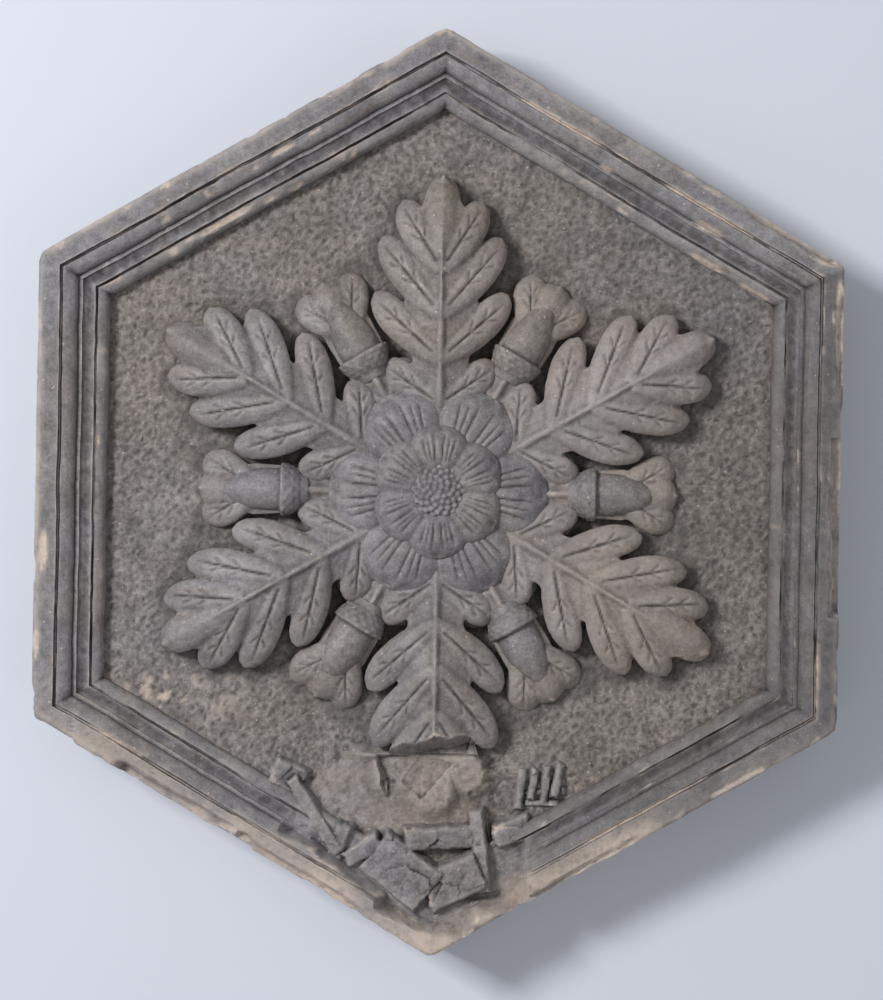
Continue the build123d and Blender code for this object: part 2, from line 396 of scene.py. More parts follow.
def weather(piece, unevenness, grain, seed, pale=0.0, soot_and_shade=0.0, wide_soot_and_shade=1.0, clean=0.0,
            rubbed=1.0):
    """Uneven the surface by hand-carved waves and grain, then store its wear, and its grime and
    painted shade.

    Pale, and extra darkening of grime and painted shade, are added to what the shape itself gives;
    clean keeps grime and painted shade away, and rubbed is how much the high edges are worn.
    """
    points, normals = read(piece)
    shift = unevenness * rough_noise(points, 34 * MM, seed, 2)
    shift += grain * rough_noise(points, 4.5 * MM, seed + 9, 2)
    points = points + normals * shift[:, None]
    write(piece, points)
    points, normals = read(piece)
    ends = neighbours(piece)
    near, wide = [np.sum((points - smoothed(points, ends, rounds)) * normals, axis=1) / full
                  for rounds, full in (SHARP_RELIEF, BROAD_RELIEF)]
    raised = (near + wide) * 0.6 * (0.75 + 0.5 * rough_noise(points, 26 * MM, seed + 17))
    chipped = np.clip(raised * 2.4 - 1.2, 0, 1)
    chipped *= np.clip(rough_noise(points, 20 * MM, seed + 23, 4) * 5 - 1.4, 0, 1)
    pale = np.clip(np.maximum(pale, chipped), 0, 1)
    paint(piece, "raised", raised * rubbed)
    # Hollows are darkened by their curvature: grime, and painted shade where less light falls
    dirt_and_shade = np.maximum(-(near + wide * wide_soot_and_shade) * 0.6, soot_and_shade)
    paint(piece, "hollow", dirt_and_shade * (1 - pale) * (1 - clean))
    paint(piece, "pale", pale)


def lay_streaks(piece, run, share):
    """Store the coordinates that the stone's streaks and tool marks follow."""
    paint(piece, "streaked", share)
    layer = piece.data.attributes.new("run", "FLOAT_VECTOR", "POINT")
    layer.data.foreach_set("vector", run.ravel())


def break_limit(points):
    """Height that the breaks leave at every point: no limit where there are none."""
    limit = np.full(len(points), np.inf)
    ragged = 4 * MM * rough_noise(points, 15 * MM, 5)
    rough = BREAK_STEP * fractured(points, 30 * MM, 8)
    rough += 0.35 * BREAK_STEP * fractured(points, 11 * MM, 18)
    for side, along, inwards, depth, long, wide, turn, rise, lean in BREAKS:
        local = turned(points, -side * SECTOR) - (APOTHEM - inwards * MM, along * MM, 0)
        local = turned(local, -math.radians(turn))
        outside = np.hypot(np.maximum(np.abs(local[:, 0]) - wide * MM / 2 + ragged, 0),
                           np.maximum(np.abs(local[:, 1]) - long * MM / 2 + ragged, 0))
        level = FACE_LEVEL - depth * MM + rough
        level += local[:, 1] * math.tan(math.radians(rise))
        level -= local[:, 0] * math.tan(math.radians(lean))
        limit = np.minimum(limit, level + outside * BREAK_WALL_SLOPE)
    return limit


def line_distance(points, line):
    """Share of the way along a line in plan, and distance from it."""
    start, run = np.array(line[:2]), np.subtract(line[2:4], line[:2])
    share = np.clip(((points[:, :2] - start) @ run) / (run @ run), 0, 1)
    away = points[:, :2] - start - share[:, None] * run
    return share, np.hypot(away[:, 0], away[:, 1])


def add_node(tree, kind, output, settings=(), inputs=(), stops=()):
    """Add a node, give each input a value or a link, and return one output.

    Settings and inputs are dictionaries, and stops are a ramp's two (place, grey value) pairs.
    """
    node = tree.nodes.new(kind)
    for name, value in dict(settings).items():
        setattr(node, name, value)
    for name, value in dict(inputs).items():
        if isinstance(value, bpy.types.NodeSocket):
            tree.links.new(value, node.inputs[name])
        else:
            node.inputs[name].default_value = value
    for number, (place, grey) in enumerate(stops):
        node.color_ramp.elements[number].position = place
        node.color_ramp.elements[number].color = (grey, grey, grey, 1)
    return node.outputs[output]


def patinated_marble(name, warmth, roughness, grain_depth, mottle=0.2):
    """Old marble under a dark patina: cut by hand, handled, and never polished.

    To the eye it is a matt grey stone with brown and blue clouds, black grime and painted shade in
    every hollow, rubbed grey edges, specks of dust, and cream stone where it has chipped.
    """
    colours = bpy.context.scene.tile_colours
    cool, warm, rust, soot_and_shade, dust, bare = [
        (*value, 1) for value in (colours.cool, colours.warm, colours.rust, colours.soot_and_shade,
                                  colours.dust, colours.bare)]
    material = bpy.data.materials.new(name)
    material.use_nodes = True
    tree = material.node_tree
    shader = tree.nodes["Principled BSDF"]
    place = add_node(tree, "ShaderNodeTexCoord", "Object")
    run = add_node(tree, "ShaderNodeAttribute", "Vector", {"attribute_name": "run"})
    stored = {attribute: add_node(tree, "ShaderNodeAttribute", "Fac",
                                  {"attribute_name": attribute})
              for attribute in ("streaked", "raised", "pale", "hollow")}
    noises = {}
    for title, vector, size, detail, rough, distortion in (
            # Clouds of patina, from one to three hands wide, and stains of a few centimetres
            ("clouds", place, 170, 3, 0.6, 0.4), ("stains", place, 42, 5, 0.62, 0.6),
            # Brown and dusty streaks, drawn at 2 to 4 mm so that they show
            ("brown", run, 3.5, 3, 0.6, 0.3), ("dusty", run, 2.4, 3, 0.6, 0.2),
            # Mottling a peck wide, and crystal grain and grime, drawn at 2 mm so that it shows
            ("mottles", place, 7, 4, 0.65, 0), ("specks", place, 2, 3, 0.7, 0),
            # Rubbed places two fingers wide, and ragged chips
            ("worn", place, 22, 4, 0.65, 0), ("chipped", place, 6, 5, 0.7, 0),
            # Handled and dry patches, the grain's relief, and flat chisel marks 2.2 mm wide
            ("gloss", place, 30, 4, 0.55, 0), ("grain", place, 1.8, 5, 0.7, 0),
            ("tooled", run, 2.2, 2, 0.5, 0.1)):
        noises[title] = add_node(tree, "ShaderNodeTexNoise", "Fac", inputs={
            "Vector": vector, "Scale": 1 / (size * MM), "Detail": detail, "Roughness": rough,
            "Distortion": distortion})

    # Each layer lays a colour over those before it, or darkens and lightens them by its greys
    base = cool
    for title, stops, attribute, colour in (
            ("clouds", ((0.5 - warmth, 0), (0.78 - warmth, 1)), None, warm),
            ("stains", ((0.32, 0.68), (0.68, 1.2)), None, None),
            ("brown", ((0.56, 0), (0.7, 0.55)), "streaked", rust),
            ("dusty", ((0.58, 0), (0.74, 0.5)), "streaked", dust),
            ("mottles", ((0.36, 1 - mottle), (0.64, 1 + mottle)), None, None),
            ("specks", ((0.3, 0.72), (0.7, 1.3)), None, None),
            ("worn", ((0.36, 0.15), (0.66, 0.85)), "raised", dust),
            ("chipped", ((0.3, 0.35), (0.55, 1)), "pale", bare)):
        share = add_node(tree, "ShaderNodeValToRGB", "Color", (), {"Fac": noises[title]}, stops)
        if attribute:
            share = add_node(tree, "ShaderNodeMath", 0, {"operation": "MULTIPLY"},
                             {0: share, 1: stored[attribute]})
        base = add_node(tree, "ShaderNodeMix", COLOUR_RESULT,
                        {"data_type": "RGBA", "blend_type": "MIX" if colour else "MULTIPLY"},
                        {0: share if colour else 1, COLOUR_A: base, COLOUR_B: colour or share})
    # Motes of pale dust and grit, on some of the cells of an 8 mm pattern
    motes = add_node(tree, "ShaderNodeTexVoronoi", "Distance", (),
                     {"Vector": place, "Scale": 1 / (8 * MM)})
    spot = add_node(tree, "ShaderNodeValToRGB", "Color", (), {"Fac": motes},
                    ((0.07, 0.85), (0.13, 0)))
    chosen = add_node(tree, "ShaderNodeValToRGB", "Color", (),
                      {"Fac": motes.node.outputs["Color"]}, ((0.58, 0), (0.66, 1)))
    # Lay the motes on, then darken the hollows with grime and painted shade
    for first, second, colour in ((spot, chosen, bare), (stored["hollow"], 0.85, soot_and_shade)):
        share = add_node(tree, "ShaderNodeMath", 0, {"operation": "MULTIPLY"},
                         {0: first, 1: second})
        base = add_node(tree, "ShaderNodeMix", COLOUR_RESULT, {"data_type": "RGBA"},
                        {0: share, COLOUR_A: base, COLOUR_B: colour})
    tree.links.new(base, shader.inputs["Base Color"])

    gloss = add_node(tree, "ShaderNodeValToRGB", "Color", (), {"Fac": noises["gloss"]},
                     ((0.3, roughness - 0.1), (0.7, roughness + 0.12)))
    tree.links.new(gloss, shader.inputs["Roughness"])
    shader.inputs["IOR"].default_value = 1.5
    shader.inputs["Specular IOR Level"].default_value = 0.4

    # Pits 4 mm apart among the grain, and chisel marks where the stone is streaked
    pits = add_node(tree, "ShaderNodeTexVoronoi", "Distance", (),
                    {"Vector": place, "Scale": 1 / (4 * MM)})
    tooled = add_node(tree, "ShaderNodeMath", 0, {"operation": "MULTIPLY"},
                      {0: stored["streaked"], 1: 0.6})
    relief = noises["grain"]
    for share, over in ((0.5, pits), (tooled, noises["tooled"])):
        relief = add_node(tree, "ShaderNodeMix", COLOUR_RESULT, {"data_type": "RGBA"},
                          {0: share, COLOUR_A: relief, COLOUR_B: over})
    bump = add_node(tree, "ShaderNodeBump", "Normal", (),
                    {"Height": relief, "Strength": 0.8, "Distance": grain_depth})
    tree.links.new(bump, shader.inputs["Normal"])
    return material


def finish_piece(piece, material):
    """Give a piece its material and tie it to the frame."""
    pick(piece)
    bpy.ops.object.shade_smooth_by_angle(angle=SHARP_ANGLE)
    piece.data.materials.clear()
    piece.data.materials.append(material)
    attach(piece, BODY)
    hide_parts(NODE)


def arc(centre, radius_x, radius_z, steps):
    """Quarter round from straight above its centre to straight inwards of it."""
    turns = [math.pi / 2 * step / steps for step in range(1, steps + 1)]
    return [(centre[0] + radius_x * math.sin(turn), centre[1] + radius_z * math.cos(turn))
            for turn in turns]


def border_profile(sizes):
    """(distance in from the outer face, height) round the border, from its back inwards."""
    arris = 3 * MM
    groove = 2.5 * MM
    ovolo_top = FACE_LEVEL - LISTEL_QUIRK
    fillet_top = ovolo_top - OVOLO_DROP
    cavetto_top = fillet_top - FILLET_DROP
    roll_top = cavetto_top - ROLL_QUIRK
    roll_low = roll_top - ROLL_DROP
    listel_in = sizes.listel_width
    ovolo_in = listel_in + sizes.ovolo_width
    cavetto_out = ovolo_in + sizes.fillet_width
    cavetto_in = cavetto_out + sizes.cavetto_width
    roll_in = cavetto_in + sizes.roll_width
    corners = [(roll_in, arris), (roll_in - 15 * MM, 0), (arris, 0), (0, arris)]
    corners += [(0, FACE_LEVEL - arris), (arris / 3, FACE_LEVEL - arris / 3),
                (arris, FACE_LEVEL), (listel_in, FACE_LEVEL)]
    corners += [(listel_in + 0.4 * MM, ovolo_top - groove),
                (listel_in + 1.6 * MM, ovolo_top - groove)]
    corners += arc((listel_in, fillet_top), sizes.ovolo_width, OVOLO_DROP, 8)
    corners += [(cavetto_out, fillet_top), (cavetto_out, cavetto_top)]
    corners += [(cavetto_out + sizes.cavetto_width * share,
                 cavetto_top - CAVETTO_SAG * math.sin(math.pi * share))
                for share in (0.2, 0.4, 0.6, 0.8, 1)]
    corners += [(cavetto_in + 0.4 * MM, roll_top - groove),
                (cavetto_in + 1.6 * MM, roll_top - groove)]
    corners += arc((cavetto_in, roll_low), sizes.roll_width, ROLL_DROP, 8)
    corners += [(roll_in, FIELD_LEVEL - 3 * MM)]
    return corners


def evenly(corners, step, plain_step):
    """Points along a profile, about one step apart, or one plain step on side and back."""
    points = [corners[0]]
    for start, end in zip(corners, corners[1:]):
        reach = math.dist(start, end)
        pieces = max(1, round(reach / (plain_step if start[1] < FACE_LEVEL / 2 else step)))
        for piece in range(1, pieces + 1):
            share = piece / pieces
            points.append((start[0] + (end[0] - start[0]) * share,
                           start[1] + (end[1] - start[1]) * share))
    return points


class RELIEF_OT_border(bpy.types.Operator):
    """Build the block's sides and moulded border"""

    bl_idname = "relief.border"
    bl_label = "Moulded border"

    def execute(self, context):
        sizes = context.scene.tile_sizes
        profile = evenly(border_profile(sizes), 1.7 * MM, 8 * MM)
        corner = 1 / math.cos(SECTOR / 2)
        inset, level = profile[0]
        deselect()
        bpy.ops.mesh.primitive_circle_add(vertices=SIDES, radius=(APOTHEM - inset) * corner,
                                          location=(0, 0, level))
        border = context.object
        bpy.ops.object.transform_apply()
        edit(border, (False, True, False))
        for next_inset, next_level in profile[1:]:
            shrink = (APOTHEM - next_inset) / (APOTHEM - inset)
            bpy.ops.mesh.extrude_edges_move(
                TRANSFORM_OT_translate={"value": (0, 0, next_level - level)})
            bpy.ops.transform.resize(value=(shrink, shrink, 1), center_override=(0, 0, 0))
            inset, level = next_inset, next_level
        bpy.ops.object.mode_set(mode="OBJECT")
        points, _ = read(border)
        angle = np.arctan2(points[:, 1], points[:, 0])
        ends = neighbours(border)
        apart = np.abs(np.angle(np.exp(1j * (angle[ends[:, 0]] - angle[ends[:, 1]]))))
        choose(border, border.data.edges, apart > SECTOR / 2, (False, True, False))
        bpy.ops.mesh.subdivide(number_cuts=round(APOTHEM * corner / sizes.border_step) - 1)
        bpy.ops.mesh.select_all(action="SELECT")
        bpy.ops.mesh.normals_make_consistent(inside=False)
        bpy.ops.object.mode_set(mode="OBJECT")
        border.name = border.data.name = "moulded_border"
        self.wear(border, sizes)
        finish_piece(border, patinated_marble("hand_cut_marble_border", 0.02, 0.62, 0.5 * MM))
        return {"FINISHED"}

    def wear(self, border, sizes):
        """Chip, crack and break the border, and store where it is pale and streaked."""
        points, normals = read(border)
        side = np.round(np.arctan2(points[:, 1], points[:, 0]) / SECTOR) % SIDES
        local = turned(points, -side * SECTOR)
        inset, along = APOTHEM - local[:, 0], local[:, 1]
        self.wander(points, side * SECTOR, inset, sizes)
        pale = self.chip_arrises(points, normals, inset, sizes)
        ragged = 0.5 * rough_noise(points, 7 * MM, 47)
        for place in FLAKES:
            middle, inwards, long, wide, depth = [value * MM for value in place[1:]]
            close = ragged + 1 - np.abs((along - middle) / long * 2) ** 2.5
            close -= ((inset - inwards) / wide * 2) ** 2
            lost = np.clip(close * 3, 0, 1) * (side == place[0]) * (points[:, 2] > FIELD_LEVEL)
            points[:, 2] -= lost * depth
            pale = np.maximum(pale, lost)
        limit = break_limit(points)
        cut = np.clip((points[:, 2] - limit) / BREAK_RIM, 0, 1)
        points[:, 2] = np.minimum(points[:, 2], np.maximum(limit, 0))
        fresh = cut * np.clip(1.5 - inset / FRESH_BREAK_REACH, 0, 1)
        pale = np.maximum(pale, fresh * (0.45 + 0.5 * rough_noise(points, 16 * MM, 51)))
        pale = np.maximum(pale, self.crack(points))
        # The two right-hand sides, away from the light, are darkened with painted shade
        soot_and_shade = 0.5 * (side == 0) + 0.42 * (side == 5)
        for number in range(SIDES):
            self.wear_corner(points, SECTOR * (number + 0.5), 60 + number)
        write(border, points)
        low = np.clip((-points[:, 1] - 180 * MM) / (130 * MM), 0, 1)
        low *= np.where((side == 5) | (side == 0), low**2, 1)
        dusty = np.clip(1.25 - inset / sizes.listel_width, 0, 1) ** 0.5
        dusty *= np.clip(0.75 + 1.3 * rough_noise(points, 46 * MM, 71, 4), 0, 1)
        rim = np.clip(1 - inset / (5 * MM), 0, 1) * np.clip(
            0.5 + 1.7 * rough_noise(points, 34 * MM, 72, 4), 0, 1)
        rim *= points[:, 2] > FACE_LEVEL - 16 * MM
        pale = np.maximum(pale, np.maximum(low**0.6 * dusty, rim * 0.8))
        # The fillet hardly shows
        fillet = sizes.listel_width + sizes.ovolo_width + sizes.fillet_width / 2
        rubbed = 1 - 0.75 * np.exp(-((inset - fillet) / (3.5 * MM)) ** 2)
        weather(border, 0.6 * MM, 0.4 * MM, 11, pale, soot_and_shade, 0.3, 0.85 * cut, rubbed)
        points, _ = read(border)
        points[local[:, 2] == 0, 2] = 0
        write(border, points)
        lay_streaks(border, np.column_stack((along / 45 + side, inset, points[:, 2])),
                    np.clip(0.5 + 1.4 * rough_noise(points, 90 * MM, 75), 0, 1))

    def wander(self, points, angles, inset, sizes):
        """Let the hand-cut mouldings wander a little, and their grooves fill in places."""
        face = points[:, 2] > FIELD_LEVEL
        dusty = (np.cos(angles) > 0.4) & (np.sin(angles) < 0.1)
        flat = points * (1, 1, 0)
        cavetto_in = (sizes.listel_width + sizes.ovolo_width + sizes.fillet_width
                      + sizes.cavetto_width)
        for line in (sizes.listel_width + 1 * MM, cavetto_in + 1 * MM):
            filled = np.clip(0.35 + 0.3 * dusty + 1.8 * rough_noise(flat, 44 * MM, 45, 4), 0, 1)
            points[:, 2] += 2.4 * MM * filled * face * (np.abs(inset - line) < 0.7 * MM)
        sideways = 1.1 * MM * rough_noise(flat, 95 * MM, 48, 2)
        sideways += 0.45 * MM * rough_noise(flat, 13 * MM, 49, 2)
        sideways *= face * np.clip(inset / (14 * MM), 0, 1)
        points[:, 0] += sideways * np.cos(angles)
        points[:, 1] += sideways * np.sin(angles)

    def chip_arrises(self, points, normals, inset, sizes):
        """Knock small chips from the arrises, and return where."""
        pale = np.zeros(len(points))
        # The lower left side is the most eroded
        eroded = np.clip((-0.5 * points[:, 0] - 0.866 * points[:, 1]) / APOTHEM * 6 - 5, 0, 1)
        cavetto_out = sizes.listel_width + sizes.ovolo_width + sizes.fillet_width
        # Each arris: where it runs, how far its chips reach, and how strong they are
        for number, (line, reach, share) in enumerate((
                (0, 6 * MM, 0.5), (sizes.listel_width, 3.5 * MM, 0.5),
                (cavetto_out, 3 * MM, 0.35),
                (cavetto_out + sizes.cavetto_width, 3.5 * MM, 0.45))):
            close = np.clip(1 - np.abs(inset - line) / reach, 0, 1)
            close *= np.clip(1 - (FACE_LEVEL - points[:, 2]) / (26 * MM), 0, 1)
            flaws = rough_noise(points * (1, 1, 0.3), 24 * MM, 40 + number, 4)
            chip = np.clip((flaws - 0.2 + 0.14 * eroded) * 5, 0, 1) * close * share
            points[:, 2] -= chip * sizes.chip_depth
            if line == 0:
                points -= normals * (chip * sizes.chip_depth * (0.6 + eroded))[:, None]
            pale = np.maximum(pale, np.clip(chip * 1.8, 0, 1))
        return pale

    def crack(self, points):
        """Sink the mended cracks, and return how much of their pale filling shows."""
        filling = np.zeros(len(points))
        wander = 1.6 * MM * np.column_stack((rough_noise(points, 12 * MM, 81),
                                             rough_noise(points, 12 * MM, 82),
                                             np.zeros(len(points))))
        for line in CRACKS:
            _, distance = line_distance(points + wander, [value * MM for value in line])
            close = np.exp(-(distance / CRACK_WIDTH) ** 2) * (points[:, 2] > FIELD_LEVEL)
            points[:, 2] -= CRACK_DEPTH * close
            filling = np.maximum(filling, 0.5 * close)
        return filling

    def wear_corner(self, points, angle, seed):
        """Rub a ragged chamfer a few millimetres deep down one corner."""
        out = points[:, 0] * math.cos(angle) + points[:, 1] * math.sin(angle)
        stop = CAD_HIGH[1] - (1.5 + 2 * rough_noise(points, 12 * MM, seed)) * MM
        over = np.maximum(out - stop, 0)
        points[:, 0] -= over * math.cos(angle)
        points[:, 1] -= over * math.sin(angle)


def hexagon_grid(name, apothem, step):
    """Flat hexagonal sheet of square cells."""
    reach = apothem / math.cos(SECTOR / 2)
    count = round(2 * reach / step)
    deselect()
    bpy.ops.mesh.primitive_grid_add(x_subdivisions=count, y_subdivisions=count,
                                    size=2 * reach)
    sheet = bpy.context.object
    edit(sheet, (False, False, True))
    for number in range(SIDES):
        away = (math.cos(number * SECTOR), math.sin(number * SECTOR), 0)
        bpy.ops.mesh.select_all(action="SELECT")
        bpy.ops.mesh.bisect(plane_co=[apothem * part for part in away], plane_no=away,
                            clear_outer=True)
    bpy.ops.object.mode_set(mode="OBJECT")
    sheet.name = sheet.data.name = name
    return sheet


def pecked(points, long, wide, depth, cover, seed):
    """Depths of overlapping scoops of a chisel, with sharp ridges left between them."""
    random = np.random.default_rng(seed)
    cell = long * 1.5
    low, high = points[:, :2].min(axis=0) - cell, points[:, :2].max(axis=0) + cell
    count = round(np.prod(high - low) / (long * wide) * cover)
    places = random.uniform(low, high, (count, 2))
    turns = 1.1 + random.normal(0, 0.8, count)
    turns += 1.2 * rough_noise(np.column_stack((places, np.zeros(count))), 150 * MM, seed)
    sizes = random.uniform(0.65, 1.35, (count, 2)) * (long / 2, wide / 2)
    depths = depth * random.uniform(0.35, 1.0, count)
    tilts = random.normal(0, 0.3, count) * depth
    order = np.lexsort(np.floor(points[:, :2].T / cell))
    keys = np.floor(points[order, :2] / cell)
    key = keys[:, 1] * 4096 + keys[:, 0]
    heights = np.zeros(len(points))
    for (x, y), turn, (half_long, half_wide), deep, tilt in zip(places, turns, sizes, depths,
                                                               tilts):
        near = []
        for row in (math.floor((y - half_long) / cell), math.floor((y + half_long) / cell)):
            first = row * 4096 + math.floor((x - half_long) / cell)
            last = row * 4096 + math.floor((x + half_long) / cell)
            near.append(order[np.searchsorted(key, first):np.searchsorted(key, last, "right")])
            if math.floor((y - half_long) / cell) == math.floor((y + half_long) / cell):
                break
        near = np.concatenate(near)
        away = points[near, :2] - (x, y)
        u = (away[:, 0] * math.cos(turn) + away[:, 1] * math.sin(turn)) / half_long
        v = (away[:, 1] * math.cos(turn) - away[:, 0] * math.sin(turn)) / half_wide
        scoop = tilt * u - deep * (1 - u**2 - v**2)
        heights[near] = np.minimum(heights[near], scoop)
    return heights


def field_apothem(sizes):
    """Distance from the centre to the foot of the roll."""
    return APOTHEM - (sizes.listel_width + sizes.ovolo_width + sizes.fillet_width
                      + sizes.cavetto_width + sizes.roll_width)


def under_carving(x, y):
    """True where the rosette covers the field all over."""
    radius = np.hypot(x, y)
    hidden = radius < 92 * MM
    for blade, first_angle in ((LARGE_LEAF, SECTOR / 2), (SMALL_LEAF, 0)):
        for number in range(SIDES):
            angle = first_angle + number * SECTOR
            u = x * math.cos(angle) + y * math.sin(angle)
            v = -x * math.sin(angle) + y * math.cos(angle)
            along = (u - blade.root) / blade.length
            inside = (along > 0) & (along < 0.9)
            hidden |= inside & (np.abs(v) < body_half_width(blade, np.clip(along, 0, 1)) - 6 * MM)
    return hidden


def patch_distance(points, patch):
    """Distance from the middle of an oval patch, which is 1 at its rim."""
    x, y, half_length, half_width = patch
    return np.hypot((points[:, 0] - x * MM) / half_length,
                    (points[:, 1] - y * MM) / half_width) / MM


def leaf_distance(points):
    """Distance in plan to the middle line of the nearest leaf or lobe."""
    nearest = np.full(len(points), np.inf)
    for blade, first_angle in ((LARGE_LEAF, SECTOR / 2), (SMALL_LEAF, 0)):
        midrib = (blade.root, 0, blade.root + blade.length - blade.lobe_breadth / 2, 0, 1)
        for line in lines_round([midrib], first_angle) + leaf_veins(blade, first_angle):
            if line[4] == 1:
                nearest = np.minimum(nearest, line_distance(points, line)[1])
    return nearest


class RELIEF_OT_field(bpy.types.Operator):
    """Build the sunk field and peck it all over with a chisel"""

    bl_idname = "relief.field"
    bl_label = "Pecked field"

    def execute(self, context):
        sizes = context.scene.tile_sizes
        field = hexagon_grid("pecked_field", field_apothem(sizes) + 1 * MM, sizes.field_step)
        centres = face_centres(field)
        drop_faces(field, under_carving(centres[:, 0], centres[:, 1])
                   & (centres[:, 1] > SCAR_LINE + 5 * MM))
        points, _ = read(field)
        pecks = pecked(points, sizes.peck_length, sizes.peck_width, sizes.peck_depth, 1.6, 7)
        # Mortar fills the pecks above the broken slabs
        mortar = np.clip((1.1 - patch_distance(points, MORTAR_PATCH)
                          + 0.6 * rough_noise(points, 34 * MM, 27, 5)) * 4, 0, 1)
        smooth = (1.8 + 1.3 * rough_noise(points * (1, 1, 0), 8 * MM, 28, 4)) * MM
        # and covers the scar of the lowest leaf's tip
        scar = np.clip((28 * MM - leaf_distance(points)) / (15 * MM), 0, 1)
        scar *= np.clip((SCAR_LINE - points[:, 1]) / (5 * MM), 0, 1)
        mound = np.clip(break_limit(points) - FIELD_LEVEL, 0, 12 * MM)
        smooth += (mound - 2 * MM) * scar * (3 - 2 * scar) * scar
        points[:, 2] = FIELD_LEVEL + pecks + (smooth - pecks) * mortar
        points[:, 2] += 1.3 * MM * rough_noise(points * (1, 1, 0), 70 * MM, 21, 2)
        points[:, 2] = np.minimum(points[:, 2], break_limit(points) + 3 * MM * mortar)
        write(field, points)
        # Whitish rubbed stretch along the lower left of the field
        rubbed = np.clip(1.15 - patch_distance(points, RUBBED_PATCH), 0, 1)
        rubbed *= np.clip(rough_noise(points, 9 * MM, 29, 4) * 3 + 0.1, 0, 1)
        # Grime and painted shade lie in the pecks; the painted shade is strongest on the side away
        # from the light, and all of it thins out towards the bottom
        right = np.clip((points[:, 0] + 90 * MM) / (240 * MM), 0, 1) * (1 - mortar)
        soot_and_shade = 0.32 + 0.6 * np.clip(-pecks / (1.4 * MM) - 0.2, 0, 1)
        soot_and_shade *= (0.35 + 0.65 * right) * np.clip(1 + (points[:, 1] + 90 * MM) / (160 * MM), 0, 1)
        # and painted shadow lies along the foot of the leaves, cast to their lower right
        away = leaf_distance(points - (1.5 * MM, -1.5 * MM, 0)) - LARGE_LEAF.lobe_breadth / 2
        soot_and_shade = np.maximum(soot_and_shade, 0.95 * np.exp(-np.maximum(away, 0) / (4.5 * MM)) * (1 - scar))
        weather(field, 0.0, 0.15 * MM, 23, np.maximum(rubbed * 0.9, mortar * 0.22), soot_and_shade,
                clean=0.4)
        finish_piece(field, patinated_marble("pecked_marble_field", 0.24, 0.72, 0.8 * MM, 0.34))
        return {"FINISHED"}


# Strokes of the punch on the back, and the smoother margin round them
PUNCH_LENGTH, PUNCH_WIDTH, PUNCH_DEPTH = 40 * MM, 16 * MM, 2.2 * MM
BACK_MARGIN = 50 * MM


class RELIEF_OT_back(bpy.types.Operator):
    """Build the back, dressed flat with a punch"""

    bl_idname = "relief.back"
    bl_label = "Dressed back"

    def execute(self, context):
        sizes = context.scene.tile_sizes
        back = hexagon_grid("dressed_back", APOTHEM - BACK_MARGIN, sizes.back_step)
        points, _ = read(back)
        points[:, 2] = -pecked(points, PUNCH_LENGTH, PUNCH_WIDTH, PUNCH_DEPTH, 1.3, 9)
        write(back, points)
        edit(back, (False, False, True))
        bpy.ops.mesh.flip_normals()
        bpy.ops.object.mode_set(mode="OBJECT")
        weather(back, 0.0, 0.2 * MM, 33)
        finish_piece(back, patinated_marble("rough_marble_back", 0.1, 0.8, 0.8 * MM))
        return {"FINISHED"}


def crest_circle(blade):
    """Centre and radius, in the XZ plane, of the arc through root, crest and tip heights."""
    x1, z1 = blade.root, FIELD_LEVEL + blade.root_height
    x2, z2 = blade.root + blade.length * CREST_PLACE, FIELD_LEVEL + blade.crest_height
    x3, z3 = blade.root + blade.length, FIELD_LEVEL + blade.tip_height
    d = 2 * (x1 * (z2 - z3) + x2 * (z3 - z1) + x3 * (z1 - z2))
    s1, s2, s3 = x1**2 + z1**2, x2**2 + z2**2, x3**2 + z3**2
    x = (s1 * (z2 - z3) + s2 * (z3 - z1) + s3 * (z1 - z2)) / d
    z = (s1 * (x3 - x2) + s2 * (x1 - x3) + s3 * (x2 - x1)) / d
    return x, z, math.dist((x, z), (x1, z1))


def rim_height(blade, x, y, half_width):
    """Height of a blade's solid, a ridged rim that curves along the midrib."""
    centre_x, centre_z, radius = crest_circle(blade)
    rim = radius - blade.edge_drop * np.abs(y) / half_width
    return centre_z + np.sqrt(np.maximum(rim**2 - (x - centre_x) ** 2, 0))


def body_half_width(blade, along):
    """Half width of a blade's body."""
    opening = np.sin(math.pi / 2 * np.minimum(along / CREST_PLACE, 1))
    closing = np.cos(math.pi / 2 * np.clip((along - CREST_PLACE) / (1 - CREST_PLACE), 0, 1))
    width = blade.root_width + (blade.body_width - blade.root_width) * opening
    return width / 2 * closing**0.75


def leaf_half_width(blade):
    """Half of a leaf's overall width, which its longest lobe gives."""
    if not blade.lobes:
        return blade.body_width / 2
    return max(length * math.sin(angle) for _, angle, length in lobe_roots(blade)) + 5 * MM


def lobe_roots(blade):
    """Place on the midrib, angle and length of each lobe on one side of a leaf."""
    last = len(blade.lobes) - 1
    for number, length in enumerate(blade.lobes):
        share = number / last
        place = FIRST_LOBE_PLACE + (LAST_LOBE_PLACE - FIRST_LOBE_PLACE) * share
        angle = FIRST_LOBE_ANGLE + (LAST_LOBE_ANGLE - FIRST_LOBE_ANGLE) * share
        yield blade.root + blade.length * place, angle, length


